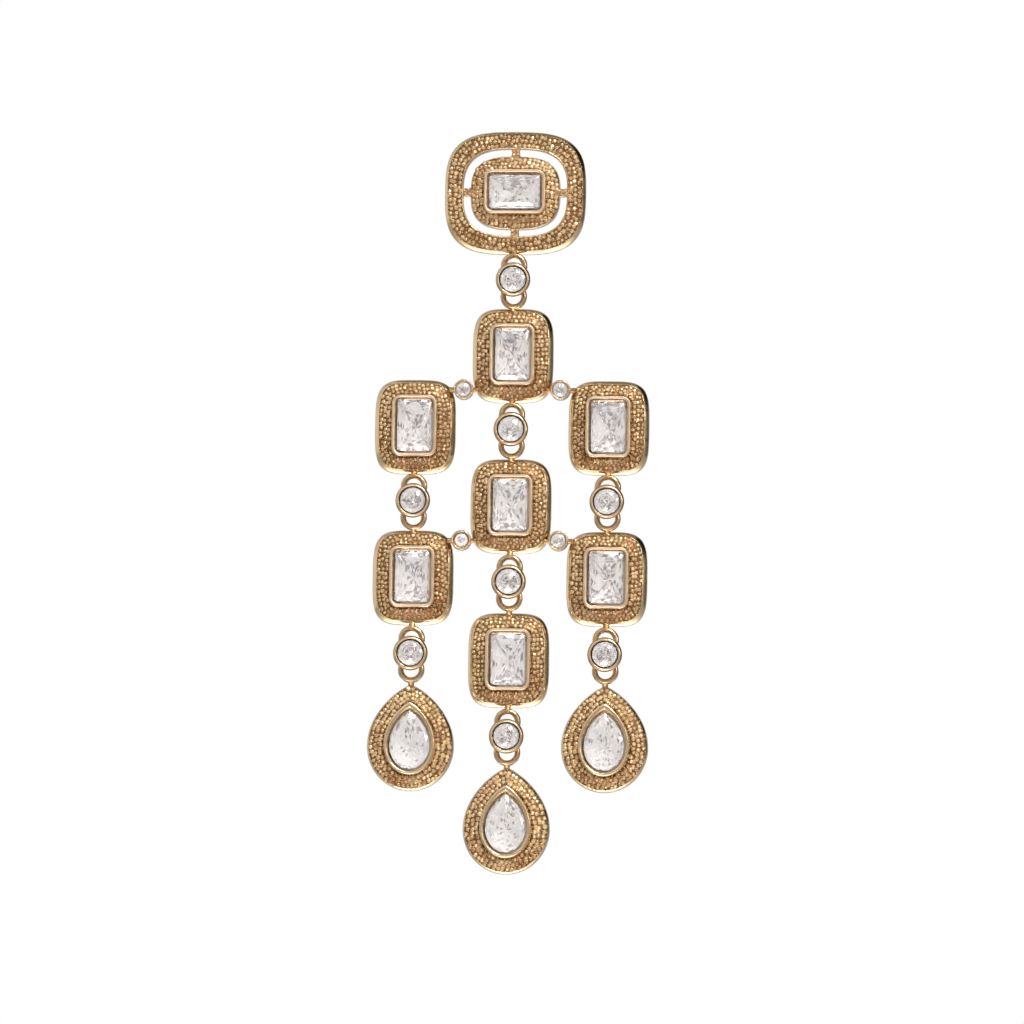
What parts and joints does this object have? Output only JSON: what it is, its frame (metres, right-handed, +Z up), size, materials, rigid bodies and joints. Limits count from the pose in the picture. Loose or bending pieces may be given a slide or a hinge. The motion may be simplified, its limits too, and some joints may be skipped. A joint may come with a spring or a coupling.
{
  "type": "chandelier earring",
  "caption": "Long gold earring: a pierced cushion plate on a post, with rows of stone-set cushion frames and pear drops hanging on round bezel links.",
  "frame": {"origin": "centre of the ear post where it leaves the flat back of the top plate", "axes": "+Z up, as the earring hangs; +Y back along the ear post, so the stones face -Y; +X to the right of someone looking at its face"},
  "size_m": [0.0336, 0.0136, 0.0892],
  "materials": {
    "gold_metal": "gold-plated, polished",
    "clear_stone": "cut and polished",
    "golden_stone": "fine cut stones"
  },
  "bodies": {
    "top_plate": {"top_plate": "gold_metal", "top_plate_stone": "clear_stone"},
    "row_upper": {"row_upper": "gold_metal", "row_upper_centre_stone": "clear_stone", "row_upper_left_stone": "clear_stone", "row_upper_right_stone": "clear_stone", "row_upper_left_small_stone": "clear_stone", "row_upper_right_small_stone": "clear_stone"},
    "row_lower": {"row_lower": "gold_metal", "row_lower_centre_stone": "clear_stone", "row_lower_left_stone": "clear_stone", "row_lower_right_stone": "clear_stone", "row_lower_left_small_stone": "clear_stone", "row_lower_right_small_stone": "clear_stone"},
    "cushion_lowest": {"cushion_lowest": "gold_metal", "cushion_lowest_stone": "clear_stone"},
    "pear_left": {"pear_left": "gold_metal", "pear_left_stone": "clear_stone"},
    "pear_centre": {"pear_centre": "gold_metal", "pear_centre_stone": "clear_stone"},
    "pear_right": {"pear_right": "gold_metal", "pear_right_stone": "clear_stone"},
    "link_top": {"link_top": "gold_metal", "link_top_stone": "clear_stone"},
    "link_rows_centre": {"link_rows_centre": "gold_metal", "link_rows_centre_stone": "clear_stone"},
    "link_rows_left": {"link_rows_left": "gold_metal", "link_rows_left_stone": "clear_stone"},
    "link_rows_right": {"link_rows_right": "gold_metal", "link_rows_right_stone": "clear_stone"},
    "link_cushion": {"link_cushion": "gold_metal", "link_cushion_stone": "clear_stone"},
    "link_pear_left": {"link_pear_left": "gold_metal", "link_pear_left_stone": "clear_stone"},
    "link_pear_centre": {"link_pear_centre": "gold_metal", "link_pear_centre_stone": "clear_stone"},
    "link_pear_right": {"link_pear_right": "gold_metal", "link_pear_right_stone": "clear_stone"}
  },
  "joints": [
    {"name": "link_top_swing", "type": "hinge", "parent": "top_plate", "child": "link_top", "pos_m": [0, -0.0009, -0.01209], "axis": [1, 0, 0], "range_deg": [-25, 25]},
    {"name": "row_upper_swing", "type": "hinge", "parent": "link_top", "child": "row_upper", "pos_m": [0, -0.0009, -0.01329], "axis": [1, 0, 0], "range_deg": [-25, 25]},
    {"name": "link_rows_centre_swing", "type": "hinge", "parent": "row_upper", "child": "link_rows_centre", "pos_m": [0, -0.0009, -0.03009], "axis": [1, 0, 0], "range_deg": [-25, 25]},
    {"name": "row_lower_swing", "type": "hinge", "parent": "link_rows_centre", "child": "row_lower", "pos_m": [0, -0.0009, -0.03129], "axis": [1, 0, 0], "range_deg": [-25, 25]},
    {"name": "link_rows_left_swing", "type": "hinge", "parent": "row_upper", "child": "link_rows_left", "pos_m": [-0.0116, -0.0009, -0.03873], "axis": [1, 0, 0], "range_deg": [-25, 25]},
    {"name": "link_rows_right_swing", "type": "hinge", "parent": "row_upper", "child": "link_rows_right", "pos_m": [0.0116, -0.0009, -0.03873], "axis": [1, 0, 0], "range_deg": [-25, 25]},
    {"name": "link_cushion_swing", "type": "hinge", "parent": "row_lower", "child": "link_cushion", "pos_m": [0, -0.0009, -0.04839], "axis": [1, 0, 0], "range_deg": [-25, 25]},
    {"name": "cushion_lowest_swing", "type": "hinge", "parent": "link_cushion", "child": "cushion_lowest", "pos_m": [0, -0.0009, -0.04959], "axis": [1, 0, 0], "range_deg": [-25, 25]},
    {"name": "link_pear_left_swing", "type": "hinge", "parent": "row_lower", "child": "link_pear_left", "pos_m": [-0.0116, -0.0009, -0.05703], "axis": [1, 0, 0], "range_deg": [-25, 25]},
    {"name": "pear_left_swing", "type": "hinge", "parent": "link_pear_left", "child": "pear_left", "pos_m": [-0.0116, -0.0009, -0.05823], "axis": [1, 0, 0], "range_deg": [-25, 25]},
    {"name": "link_pear_centre_swing", "type": "hinge", "parent": "cushion_lowest", "child": "link_pear_centre", "pos_m": [0, -0.0009, -0.06687], "axis": [1, 0, 0], "range_deg": [-25, 25]},
    {"name": "pear_centre_swing", "type": "hinge", "parent": "link_pear_centre", "child": "pear_centre", "pos_m": [0, -0.0009, -0.06807], "axis": [1, 0, 0], "range_deg": [-25, 25]},
    {"name": "link_pear_right_swing", "type": "hinge", "parent": "row_lower", "child": "link_pear_right", "pos_m": [0.0116, -0.0009, -0.05703], "axis": [1, 0, 0], "range_deg": [-25, 25]},
    {"name": "pear_right_swing", "type": "hinge", "parent": "link_pear_right", "child": "pear_right", "pos_m": [0.0116, -0.0009, -0.05823], "axis": [1, 0, 0], "range_deg": [-25, 25]}
  ],
  "couplings": [
    {"joint": "row_lower_swing", "follows": "link_rows_centre_swing", "ratio": -1},
    {"joint": "link_rows_left_swing", "follows": "link_rows_centre_swing", "ratio": 1},
    {"joint": "link_rows_right_swing", "follows": "link_rows_centre_swing", "ratio": 1}
  ]
}
